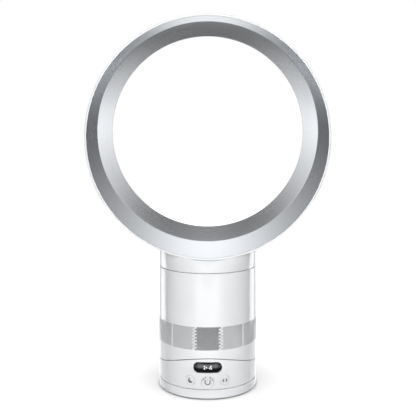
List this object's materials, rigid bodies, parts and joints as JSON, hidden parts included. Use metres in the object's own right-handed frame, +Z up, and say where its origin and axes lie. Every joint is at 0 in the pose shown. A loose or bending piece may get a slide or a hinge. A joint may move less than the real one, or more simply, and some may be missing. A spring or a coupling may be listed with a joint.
{
  "type": "bladeless fan",
  "caption": "Bladeless desk fan: a round air loop on a cylindrical body with an inlet grille, on a swinging, tilting base with front controls.",
  "frame": {"origin": "centre of the foot on the table", "axes": "+Z up, -Y is the front with the controls, +X to the right seen from the front"},
  "size_m": [0.356, 0.1469, 0.5537],
  "materials": {
    "white_casing": "glossy white moulded plastic",
    "silver_casing": "satin silver paint on plastic",
    "display_window": "polished black window",
    "grey_plastic": "unpainted grey moulding",
    "black_plastic": "matt black moulding",
    "bearing_plastic": "natural acetal",
    "rubber": "soft black rubber",
    "foam": "open-cell foam",
    "circuit_board": "green solder mask",
    "motor_windings": "steel laminations with enamelled copper",
    "steel": "plain steel"
  },
  "bodies": {
    "foot": {"foot_shell": "white_casing", "foot_plate": "grey_plastic", "foot_pad": "rubber", "glide_ring": "bearing_plastic", "power_socket": "black_plastic", "fixed_gear": "bearing_plastic", "hub_nut": "grey_plastic", "foot_screw_1": "steel", "foot_screw_2": "steel", "foot_screw_3": "steel"},
    "swing_base": {"control_housing": "white_casing", "display_window": "display_window", "display_module": "black_plastic", "control_board": "circuit_board", "turntable_plate": "grey_plastic", "tilt_cradle": "grey_plastic", "swing_motor_bracket": "steel", "swing_motor": "steel", "cradle_screw_1": "steel", "cradle_screw_2": "steel", "cradle_screw_3": "steel", "cradle_screw_4": "steel"},
    "pinion": {"swing_pinion": "bearing_plastic"},
    "sleep_timer_key": {"sleep_timer_button": "white_casing"},
    "swing_key": {"swing_button": "white_casing"},
    "power_key": {"power_button": "white_casing"},
    "airflow_key": {"airflow_rocker": "white_casing"},
    "motor_body": {"body_shell": "white_casing", "tilt_shoe": "grey_plastic", "tilt_runner_left": "bearing_plastic", "tilt_runner_right": "bearing_plastic", "runner_screw_left": "steel", "runner_screw_right": "steel", "cable_grommet": "rubber", "inlet_foam": "foam", "duct_seal": "rubber", "impeller_housing": "grey_plastic", "diffuser_vanes": "grey_plastic", "motor_plate": "grey_plastic", "motor_bucket": "grey_plastic", "motor_stator": "motor_windings", "motor_bearing_lower": "steel", "motor_bearing_upper": "steel", "outlet_seal": "rubber", "body_screw_1": "steel", "body_screw_2": "steel", "body_screw_3": "steel"},
    "spinner": {"impeller": "black_plastic", "motor_shaft": "steel", "motor_rotor": "steel"},
    "air_loop": {"loop_outer_casing": "white_casing", "loop_inner_casing": "silver_casing"}
  },
  "joints": [
    {"name": "swing", "type": "hinge", "parent": "foot", "child": "swing_base", "pos_m": [0, 0, 0.0147], "axis": [0, 0, 1], "range_deg": [-35, 35]},
    {"name": "pinion_turn", "type": "hinge", "parent": "swing_base", "child": "pinion", "pos_m": [0, 0.03315, 0.021], "axis": [0, 0, 1], "range_deg": [-145, 145]},
    {"name": "sleep_timer_press", "type": "slide", "parent": "swing_base", "child": "sleep_timer_key", "axis": [0.3355, 0.9421, 0], "range_m": [0, 0.0008], "stiffness_N_per_m": 800, "springref_m": -0.0005},
    {"name": "swing_press", "type": "slide", "parent": "swing_base", "child": "swing_key", "axis": [-0.3355, 0.9421, 0], "range_m": [0, 0.0008], "stiffness_N_per_m": 800, "springref_m": -0.0005},
    {"name": "power_press", "type": "slide", "parent": "swing_base", "child": "power_key", "axis": [0, 1, 0], "range_m": [0, 0.0008], "stiffness_N_per_m": 800, "springref_m": -0.0005},
    {"name": "airflow_rock", "type": "hinge", "parent": "swing_base", "child": "airflow_key", "pos_m": [0, -0.0724, 0.0253], "axis": [0, 0, 1], "range_deg": [-3, 3], "stiffness_Nm_per_rad": 0.2},
    {"name": "tilt", "type": "hinge", "parent": "swing_base", "child": "motor_body", "pos_m": [0, 0, 0.202], "axis": [1, 0, 0], "range_deg": [-10, 10]},
    {"name": "impeller_spin", "type": "hinge", "parent": "motor_body", "child": "spinner", "pos_m": [0, 0, 0.13], "axis": [0, 0, 1], "continuous": true},
    {"name": "loop_twist", "type": "hinge", "parent": "motor_body", "child": "air_loop", "pos_m": [0, 0, 0.1807], "axis": [0, 0, 1], "range_deg": [0, 15]}
  ],
  "couplings": [
    {"joint": "pinion_turn", "follows": "swing", "ratio": 4}
  ]
}
